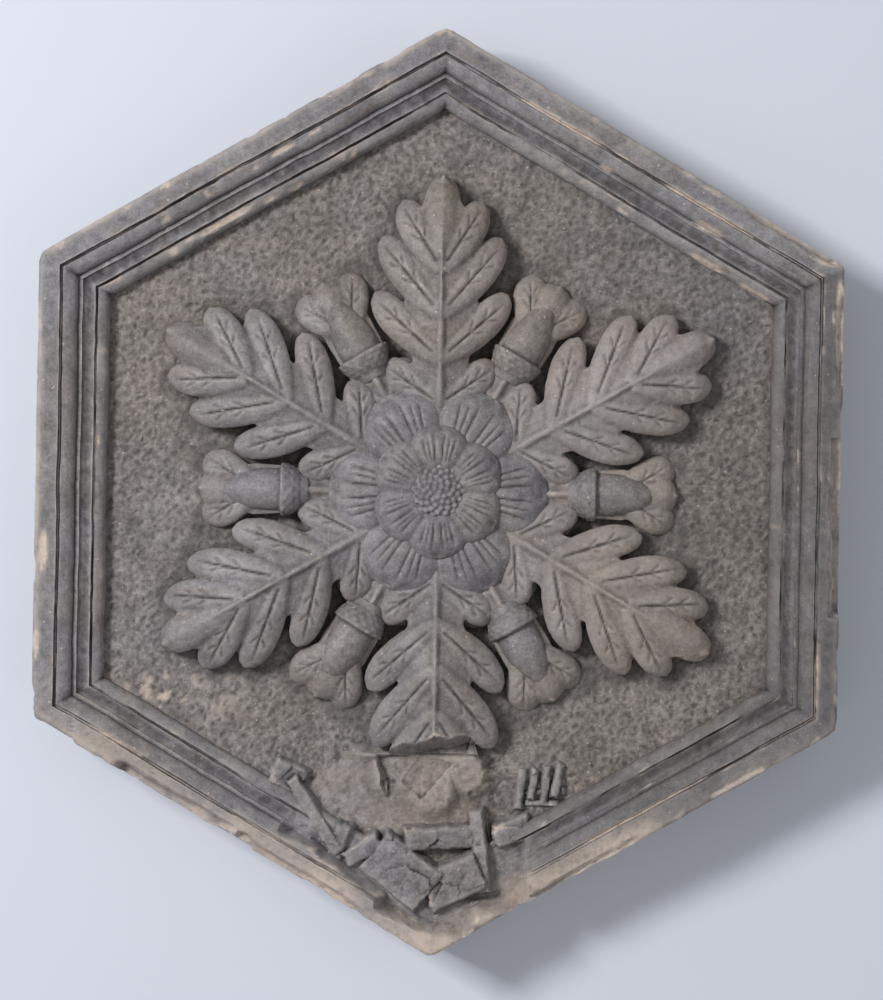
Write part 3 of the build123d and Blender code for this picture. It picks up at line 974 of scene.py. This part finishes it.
def carved_shell(name, rows, columns, surface):
    """Closed block with a flat foot, whose top follows surface(along, across, top)."""
    deselect()
    bpy.ops.mesh.primitive_grid_add(x_subdivisions=rows, y_subdivisions=columns, size=2)
    shell = bpy.context.object
    edit(shell, (False, False, True))
    bpy.ops.mesh.extrude_region_move(TRANSFORM_OT_translate={"value": (0, 0, 1)})
    bpy.ops.mesh.select_all(action="SELECT")
    bpy.ops.mesh.normals_make_consistent(inside=False)
    bpy.ops.object.mode_set(mode="OBJECT")
    points, _ = read(shell)
    top = points[:, 2] > 0.5
    # The foot is a little smaller than the top, so the edges are undercut
    across = np.where(top, points[:, 1], points[:, 1] * 0.86)
    along = (points[:, 0] + 1) / 2
    x, y, z = surface(np.where(top, along, 0.03 + along * 0.92), across)
    foot = FIELD_LEVEL - 5 * MM
    write(shell, np.column_stack((x, y, np.where(top, z, foot))))
    shell.name = name
    return shell


def finger(blade, start, angle, reach, breadth, side, bend=LOBE_BEND):
    """Surface of one lobe: a rounded finger that springs from the midrib and bends forward."""
    half_width = leaf_half_width(blade)

    def surface(along, across):
        end = np.clip((along - ROUND_START) / (1 - ROUND_START), 0, 1)
        rounding = np.sqrt(np.clip(1 - end**2, 0, 1))
        width = breadth / 2 * (0.62 + 0.38 * np.sin(math.pi / 2 * np.minimum(along / 0.6, 1)))
        width = width * rounding + 0.4 * MM
        turn = angle - bend * along**1.3
        x = start + reach * along * np.cos(turn) - width * across * np.sin(turn)
        y = reach * along * np.sin(turn) + width * across * np.cos(turn)
        z = rim_height(blade, x, y, half_width)
        body = np.sin(math.pi * np.clip(0.12 + along * 0.84, 0, 1)) ** 0.6
        z = z + LOBE_PILLOW * body * (1 - across**2)
        z = z + LOBE_LAP * across * (1 - along) ** 0.3
        z = z - LOBE_ROLL * np.abs(across) ** 5
        z = z - LOBE_TIP_DROP * np.clip((along - 0.72) / 0.28, 0, 1) ** 2
        return x, y * side, z

    return surface


def carved_leaf(name, blade, step):
    """One leaf of overlapping shells: body, lobes on both sides, end lobe and midrib."""
    half_width = leaf_half_width(blade)

    def body(along, across):
        x = blade.root + blade.length * along
        y = body_half_width(blade, along) * across
        return x, y, rim_height(blade, x, y, half_width) - 2 * MM * np.abs(across) ** 2

    def midrib(along, across):
        x = blade.root + blade.length * (0.02 + 0.93 * along)
        y = MIDRIB_HALF_WIDTH * (1 - 0.62 * along) * across
        z = rim_height(blade, x, y * 0, half_width) + MIDRIB_HEIGHT * (1 - across**2) - MIDRIB_SINK
        return x, y, z - 2 * MM * np.clip((along - 0.9) / 0.1, 0, 1)

    rows = round(blade.length / step)
    shells = [carved_shell(name, rows, 24, body)]
    for start, angle, reach in lobe_roots(blade):
        for side in (1, -1):
            surface = finger(blade, start, angle, reach, blade.lobe_breadth, side)
            shells.append(carved_shell(name, round(reach / step), 18, surface))
    end = blade.root + blade.length * (LAST_LOBE_PLACE + 0.06)
    reach = blade.root + blade.length - end
    surface = finger(blade, end, 0, reach, blade.lobe_breadth * 1.1, 1, bend=0)
    shells.append(carved_shell(name, round(reach / step), 20, surface))
    shells.append(carved_shell(name, rows, 8, midrib))
    return join(shells, name)


def fuse(piece, voxel):
    """One skin from overlapping shells, without the foot that is inside the stone."""
    pick(piece)
    skin = piece.modifiers.new("skin", "REMESH")
    skin.mode = "VOXEL"
    skin.voxel_size = voxel
    bpy.ops.object.modifier_apply(modifier=skin.name)
    soft = piece.modifiers.new("soft", "SMOOTH")
    soft.factor = 0.5
    soft.iterations = 2
    bpy.ops.object.modifier_apply(modifier=soft.name)
    drop_faces(piece, face_centres(piece)[:, 2] < FIELD_LEVEL - 3 * MM)
    return piece


def incise(points, lines, depth, width):
    """Cut round-bottomed veins along lines of (x1, y1, x2, y2, share of the depth)."""
    cut = np.zeros(len(points))
    for line in lines:
        share, distance = line_distance(points, line)
        fade = np.sin(math.pi * np.clip(0.1 + share * 0.9, 0, 1)) ** 0.5
        cut = np.maximum(cut, line[4] * fade * np.exp(-(distance / width) ** 2))
    points[:, 2] -= depth * cut
    return points


def lines_round(lines, first_angle):
    """Six turned copies of the lines, round the tile's centre."""
    everywhere = []
    for number in range(SIDES):
        angle = first_angle + number * SECTOR
        spin = np.array(((math.cos(angle), math.sin(angle)), (-math.sin(angle), math.cos(angle))))
        everywhere += [(*(np.array(line[:2]) @ spin), *(np.array(line[2:4]) @ spin), line[4])
                       for line in lines]
    return everywhere


def petal_veins(blade, first_angle):
    """Veins of six petals round the centre, fanned from the root of each."""
    lines = []
    for fan in (-0.62, -0.42, -0.2, 0.2, 0.42, 0.62):
        near = blade.root + 0.34 * blade.length
        far = blade.root + (0.9 - 0.25 * abs(fan)) * blade.length
        lines.append((near, fan * 0.3 * blade.body_width, far, fan * 0.5 * blade.body_width, 1.0))
    return lines_round(lines, first_angle)


def leaf_veins(blade, first_angle):
    """Veins of six leaves round the centre: one along every lobe, with two pairs of twigs."""
    lines = []
    for start, angle, reach in lobe_roots(blade):
        for side in (1, -1):
            turn = angle - 0.09
            aim = np.array((math.cos(turn), side * math.sin(turn)))
            root = np.array((start + 0.12 * reach * math.cos(angle),
                             side * 0.12 * reach * math.sin(angle)))
            tip = np.array((start, 0)) + 0.9 * reach * aim
            lines.append((*root, *tip, 1.0))
            for share in (0.36, 0.62):
                fork = root + (tip - root) * share
                for lean in (0.6, -0.6):
                    way = turn + lean
                    twig = fork + 0.44 * blade.lobe_breadth * np.array(
                        (math.cos(way), side * math.sin(way)))
                    lines.append((*fork, *twig, 0.6))
    return lines_round(lines, first_angle)


def follow(piece, lines, share):
    """Let streaks and tool marks run beside the nearest of the veins."""
    points, _ = read(piece)
    nearest = np.full(len(points), np.inf)
    run = np.zeros((len(points), 3))
    for number, line in enumerate(lines):
        aim = np.subtract(line[2:4], line[:2])
        reach = math.hypot(*aim)
        away = points[:, :2] - line[:2]
        along, beside = away @ (aim / reach), away @ (np.array((-aim[1], aim[0])) / reach)
        distance = np.hypot(beside, np.maximum(np.abs(along - reach / 2) - reach / 2, 0))
        closer = distance < nearest
        nearest[closer] = distance[closer]
        run[closer] = np.column_stack((along / 25, beside, beside * 0 + number))[closer]
    lay_streaks(piece, run, share)


def broken(piece):
    """Lower a carved piece to the breaks, and return where that is."""
    points, _ = read(piece)
    limit = break_limit(points) - 2.4 * MM * np.abs(fractured(points, 13 * MM, 98))
    # The scar of the lowest leaf's tip is ground down and lies under the mortar
    limit -= 14 * MM * np.clip((SCAR_LINE - 2 * MM - points[:, 1]) / (6 * MM), 0, 1)
    cut = np.clip((points[:, 2] - limit) / BREAK_RIM, 0, 1)
    points[:, 2] = np.minimum(points[:, 2], np.maximum(limit, FIELD_LEVEL - 4 * MM))
    write(piece, points)
    return cut


def carve_leaves(name, blade, first_angle, groups, vein_depth, seed, warmth):
    """Carve six leaves round the centre, and finish them in one piece a group."""
    sizes = bpy.context.scene.tile_sizes
    leaves = copies_round(carved_leaf(name, blade, LEAF_STEP), SIDES, first_angle)
    veins = leaf_veins(blade, first_angle)
    material = patinated_marble("carved_marble_" + name, warmth, 0.6, 0.6 * MM)
    for group in range(groups):
        piece = join(leaves[group::groups], f"{name}_{group + 1}")
        fuse(piece, sizes.carving_step)
        points, _ = read(piece)
        write(piece, incise(points, veins, vein_depth, VEIN_WIDTH))
        cut = broken(piece)
        # The right side, away from the light, is painted paler to lift its shade, over a little
        # rubbing everywhere
        rubbed = 0.07 + 0.2 * np.clip(points[:, 0] / (150 * MM), 0, 1)
        weather(piece, 0.9 * MM, 0.35 * MM, seed + group, np.maximum(0.12 * cut, rubbed),
                clean=np.maximum(0.6 * cut, 0.15))
        follow(piece, [line for line in veins if line[4] == 1], 0.55 * (1 - cut))
        finish_piece(piece, material)


class RELIEF_OT_large_leaves(bpy.types.Operator):
    """Carve the six large lobed leaves that point to the corners"""

    bl_idname = "relief.large_leaves"
    bl_label = "Large leaves"

    def execute(self, context):
        carve_leaves("large_leaves", LARGE_LEAF, SECTOR / 2, 2, 2.6 * MM, 81, 0.1)
        return {"FINISHED"}


class RELIEF_OT_small_leaves(bpy.types.Operator):
    """Carve the six small leaves that carry the acorns"""

    bl_idname = "relief.small_leaves"
    bl_label = "Small leaves"

    def execute(self, context):
        carve_leaves("small_leaves", SMALL_LEAF, 0, 1, 2.2 * MM, 91, 0.13)
        return {"FINISHED"}


ACORN_START = 116 * MM
ACORN_AXIS = 13 * MM
CUP_RADIUS = 23.5 * MM
CUP_LENGTH = 26 * MM
NUT_RADIUS = 19.5 * MM
NUT_LENGTH = 50 * MM


class RELIEF_OT_acorns(bpy.types.Operator):
    """Carve the six acorns with their scaly cups"""

    bl_idname = "relief.acorns"
    bl_label = "Acorns"

    def execute(self, context):
        sizes = context.scene.tile_sizes
        acorn = join([self.nut(), self.cup()], "acorns")
        acorns = join(copies_round(acorn, SIDES, 0), "acorns")
        fuse(acorns, sizes.carving_step * 0.9)
        weather(acorns, 0.5 * MM, 0.2 * MM, 101)
        finish_piece(acorns, patinated_marble("carved_marble_acorns", 0.12, 0.55, 0.4 * MM))
        return {"FINISHED"}

    def ball(self):
        """Sphere whose poles are on the X axis, with its points as length share and turn."""
        deselect()
        bpy.ops.mesh.primitive_uv_sphere_add(segments=72, ring_count=48, radius=1)
        piece = bpy.context.object
        points, _ = read(piece)
        share = (points[:, 2] + 1) / 2
        turn = np.arctan2(points[:, 1], points[:, 0])
        return piece, share, turn

    def place(self, piece, along, radius, turn):
        """Set a turned piece on its leaf."""
        write(piece, np.column_stack((ACORN_START + along, radius * np.cos(turn),
                                      FIELD_LEVEL + ACORN_AXIS + radius * np.sin(turn))))
        return piece

    def nut(self):
        """The nut, fullest near its cup, with a nib at its end."""
        piece, share, turn = self.ball()
        total = CUP_LENGTH + NUT_LENGTH
        along = share * total
        belly = np.sqrt(np.clip(1 - ((along - total * 0.45) / (total * 0.55)) ** 2, 0, 1)) ** 0.85
        nib = np.exp(-((along - total) / (3.5 * MM)) ** 2) * 2.2 * MM
        radius = NUT_RADIUS * belly + nib
        along = along + np.clip((share - 0.985) / 0.015, 0, 1) * 3 * MM
        return self.place(piece, along, radius, turn)

    def cup(self):
        """The cup, which covers the first third of the nut."""
        piece, share, turn = self.ball()
        along = CUP_LENGTH * share
        radius = CUP_RADIUS * np.sin(math.pi / 2 * np.clip(share * 1.05, 0, 1)) ** 0.55
        radius = np.where(share > 0.97, radius * np.clip((1 - share) / 0.03, 0, 1), radius)
        # Rows of pointed scales, staggered from row to row
        row = share * 6
        stagger = np.floor(row) % 2 * math.pi / 14
        scale = np.abs(np.cos(7 * (turn + stagger))) * (1 - (row % 1)) ** 0.7
        return self.place(piece, along, radius + 1.7 * MM * scale * (share < 0.95), turn)


def petal(blade, curl):
    """Surface of a petal: cupped, creased down its middle and rolled over at its lip."""
    def surface(along, across):
        swell = np.sin(math.pi / 2 * np.minimum(along / ROUND_START, 1)) ** 0.8
        end = np.clip((along - ROUND_START) / (1 - ROUND_START), 0, 1)
        rounding = np.sqrt(np.clip(1 - end**2.4, 0, 1))
        width = blade.root_width / 2 + (blade.body_width - blade.root_width) / 2 * swell
        width = width * (0.08 + 0.92 * rounding)
        reach = 1 - 0.05 * np.exp(-(across / 0.22) ** 2)
        x = blade.root + blade.length * along * reach
        y = width * across
        z = rim_height(blade, x, y, blade.body_width / 2)
        z = z + PETAL_CUP * across**2 - PETAL_CREASE * np.exp(-(across / 0.14) ** 2)
        z = z + PETAL_RIPPLE * np.cos(across * 5 * math.pi) * (1 - np.abs(across)) * along
        z = z - curl * np.clip((along - 0.74) / 0.26, 0, 1) ** 2
        return x, y, z - PETAL_ROLL * np.abs(across) ** 6

    return surface


BOSS_RADIUS = 26 * MM
BOSS_CROWN = 13 * MM
BOSS_HEIGHT = 47 * MM
SEEDS = 64
GOLDEN_ANGLE = math.pi * (3 - math.sqrt(5))


class RELIEF_OT_flower(bpy.types.Operator):
    """Carve the two rows of petals and the seeded boss"""

    bl_idname = "relief.flower"
    bl_label = "Petals and boss"

    def execute(self, context):
        sizes = context.scene.tile_sizes
        for name, blade, first, cells, curl, seed in (
                ("outer_petals", OUTER_PETAL, 0, 40, 6 * MM, 111),
                ("inner_petals", INNER_PETAL, SECTOR / 2, 32, 5 * MM, 121)):
            one = carved_shell(name, cells, cells, petal(blade, curl))
            row = join(copies_round(one, SIDES, first), name)
            fuse(row, sizes.carving_step * 0.95)
            points, _ = read(row)
            veins = petal_veins(blade, first)
            write(row, incise(points, veins, PETAL_VEIN_DEPTH, PETAL_VEIN_WIDTH))
            weather(row, 0.6 * MM, 0.25 * MM, seed, soot_and_shade=0.08)
            follow(row, veins, 0.5)
            finish_piece(row, patinated_marble("carved_marble_" + name, 0.05, 0.56, 0.5 * MM))
        self.boss(context)
        return {"FINISHED"}

    def boss(self, context):
        """Domed boss with its seeds set in a spiral."""
        spring = FIELD_LEVEL + BOSS_HEIGHT - BOSS_CROWN
        deselect()
        bpy.ops.mesh.primitive_uv_sphere_add(segments=64, ring_count=32, radius=1)
        dome = context.object
        points, _ = read(dome)
        points[:, 2] *= np.where(points[:, 2] > 0, BOSS_CROWN, 50 * MM)
        points[:, :2] *= BOSS_RADIUS
        points[:, 2] += spring
        write(dome, points)
        shells = [dome]
        for number in range(SEEDS):
            out = BOSS_RADIUS * 0.93 * math.sqrt((number + 0.5) / SEEDS)
            level = spring + BOSS_CROWN * math.sqrt(1 - (out / BOSS_RADIUS) ** 2)
            size = (2.1 + 0.9 * number / SEEDS) * MM
            turn = number * GOLDEN_ANGLE
            place = (out * math.cos(turn), out * math.sin(turn), level + 0.2 * MM)
            bpy.ops.mesh.primitive_ico_sphere_add(subdivisions=2, radius=size, location=place)
            seed = context.object
            bpy.ops.object.transform_apply()
            shells.append(seed)
        boss = join(shells, "seeded_boss")
        fuse(boss, 1.0 * MM)
        weather(boss, 0.3 * MM, 0.15 * MM, 131)
        finish_piece(boss, patinated_marble("carved_marble_boss", 0.05, 0.55, 0.25 * MM))


# Broken slabs at the bottom, as the tile's solid has them: middle in plan, length, width and
# height above the field in millimetres, then turn and slopes in degrees. The last two are
# thin bridges that the solid leaves out.
SLABS = (
    (-106, -292, 78, 11, 19, -57, 3, 4),
    (-130, -258, 30, 24, 12, -24, -5, 3),
    (-84, -316, 34, 13, 19, 72, 6, -7),
    (-62, -322, 36, 14, 18, 33, -6, 6),
    (-28, -341, 62, 42, 19, -37, 4, 6),
    (8, -311, 62, 19, 18, 4, -4, 9),
    (20, -350, 52, 33, 22, 26, 6, -5),
    (43, -322, 74, 11, 19, -83, 3, 6),
    (72, -304, 32, 20, 14, 20, -6, 4),
    (79, -266, 34, 6, 7, 84, 2, 5),
    (90, -262, 28, 6, 8, 80, -2, -5),
    (101, -263, 36, 6, 7, 86, 3, 4),
    (112, -258, 30, 6, 8, 78, -2, 3),
    (97, -269, 40, 5, 4, 4, 1, 2),
    (98, -279, 30, 5, 5, -3, 2, 1),
)
# Corners, in millimetres, of the sheet that they are raised from
SLAB_AREA = ((-170, -394), (150, -200))


class RELIEF_OT_fragments(bpy.types.Operator):
    """Carve the broken slabs at the bottom of the face"""

    bl_idname = "relief.fragments"
    bl_label = "Broken slabs"

    def execute(self, context):
        sizes = context.scene.tile_sizes
        low, high = np.array(SLAB_AREA) * MM
        across, up = [round(part / (sizes.carving_step * 0.9)) for part in high - low]
        deselect()
        bpy.ops.mesh.primitive_grid_add(x_subdivisions=across, y_subdivisions=up, size=2)
        slabs = context.object
        points, _ = read(slabs)
        points[:, :2] = low + (points[:, :2] + 1) / 2 * (high - low)
        ragged = 2.2 * MM * rough_noise(points, 12 * MM, 141, 4)
        rough = 1.5 * MM * rough_noise(points, 15 * MM, 142, 4)
        points[:, 2] = FIELD_LEVEL - 9 * MM
        for number, (x, y, long, wide, height, turn, rise, lean) in enumerate(SLABS):
            local = turned(points - (x * MM, y * MM, 0), -math.radians(turn))
            past_end = np.abs(local[:, 0]) - long * MM / 2 + ragged * 1.6
            past_side = np.abs(local[:, 1]) - wide * MM / 2 + ragged * 0.7
            outside = np.hypot(np.maximum(past_end, 0), np.maximum(past_side, 0))
            worn = np.exp(np.maximum(past_end, past_side) / (2 * MM))
            level = FIELD_LEVEL + height * MM + rough
            level += min(height / 6, 1.6) * MM * fractured(points, 21 * MM, 150 + number)
            level += local[:, 0] * math.tan(math.radians(rise))
            level += local[:, 1] * math.tan(math.radians(lean))
            level -= 1.6 * MM * np.minimum(worn, 1) + 5 * outside
            points[:, 2] = np.maximum(points[:, 2], level)
        slabs.name = slabs.data.name = "broken_slabs"
        write(slabs, points)
        drop_faces(slabs, face_centres(slabs)[:, 2] < FIELD_LEVEL - 5 * MM)
        weather(slabs, 0.3 * MM, 0.5 * MM, 143)
        finish_piece(slabs, patinated_marble("broken_marble", 0.06, 0.7, 0.6 * MM, 0.26))
        return {"FINISHED"}


class RELIEF_OT_stage(bpy.types.Operator):
    """Build the floor, the lights and the camera that looks down on the tile"""

    bl_idname = "relief.stage"
    bl_label = "Floor, lights and camera"

    def execute(self, context):
        scene = context.scene
        deselect()
        bpy.ops.mesh.primitive_plane_add(size=30, location=(0, 0, -0.5 * MM))
        floor = context.object
        floor.name = floor.data.name = "floor"
        paint_floor = bpy.data.materials.new("matt_painted_floor")
        paint_floor.use_nodes = True
        shader = paint_floor.node_tree.nodes["Principled BSDF"]
        shader.inputs["Base Color"].default_value = (*scene.tile_colours.floor, 1)
        shader.inputs["Roughness"].default_value = 0.9
        shader.inputs["Specular IOR Level"].default_value = 0.1
        floor.data.materials.append(paint_floor)

        self.lamp("key", (-2.12, 1.02, 2.8), 0.8, 106)
        self.lamp("fill", (1.6, -0.6, 3.2), 3.0, 15)
        world = bpy.data.worlds.new("plain_studio")
        world.use_nodes = True
        world.node_tree.nodes["Background"].inputs["Color"].default_value = (0.93, 0.96, 1, 1)
        world.node_tree.nodes["Background"].inputs["Strength"].default_value = 0.38
        scene.world = world

        camera = bpy.data.cameras.new("camera")
        camera.lens = 120
        camera.sensor_width = 36
        seen = bpy.data.objects.new("camera", camera)
        scene.collection.objects.link(seen)
        seen.location = (3.2 * MM, -7.2 * MM, FACE_LEVEL + 2.97)
        seen.rotation_euler = (0, 0, math.radians(1.0))
        scene.camera = seen
        scene.view_settings.view_transform = "Standard"
        return {"FINISHED"}

    def lamp(self, name, place, size, power):
        """Square soft light that points at the tile."""
        light = bpy.data.lights.new(name, "AREA")
        light.size = size
        light.energy = power
        lamp = bpy.data.objects.new(name, light)
        bpy.context.scene.collection.objects.link(lamp)
        lamp.location = place
        flat = math.hypot(place[0], place[1])
        lamp.rotation_euler = (0, math.atan2(flat, place[2]), math.atan2(place[1], place[0]))


class RELIEF_PT_tile(bpy.types.Panel):
    """Sizes, colours and steps of the relief tile"""

    bl_idname = "RELIEF_PT_tile"
    bl_label = "Relief tile"
    bl_space_type = "VIEW_3D"
    bl_region_type = "UI"
    bl_category = "Relief Tile"

    def draw(self, context):
        for group in (context.scene.tile_sizes, context.scene.tile_colours):
            box = self.layout.box()
            for name in group.__annotations__:
                box.prop(group, name)
        for step in STEPS:
            self.layout.operator(step.bl_idname)


STEPS = (RELIEF_OT_stage, RELIEF_OT_border, RELIEF_OT_back, RELIEF_OT_field,
         RELIEF_OT_large_leaves, RELIEF_OT_small_leaves, RELIEF_OT_acorns, RELIEF_OT_flower,
         RELIEF_OT_fragments)
CLASSES = (TileSizes, TileColours, *STEPS, RELIEF_PT_tile)


def register():
    """Add the classes and the two groups of properties."""
    for cls in CLASSES:
        bpy.utils.register_class(cls)
    bpy.types.Scene.tile_sizes = bpy.props.PointerProperty(type=TileSizes)
    bpy.types.Scene.tile_colours = bpy.props.PointerProperty(type=TileColours)


def unregister():
    """Remove what register adds."""
    del bpy.types.Scene.tile_colours
    del bpy.types.Scene.tile_sizes
    for cls in reversed(CLASSES):
        bpy.utils.unregister_class(cls)


def main():
    """Build the whole tile."""
    register()
    for step in STEPS:
        group, name = step.bl_idname.split(".")
        getattr(getattr(bpy.ops, group), name)()


if __name__ == "__main__":
    main()
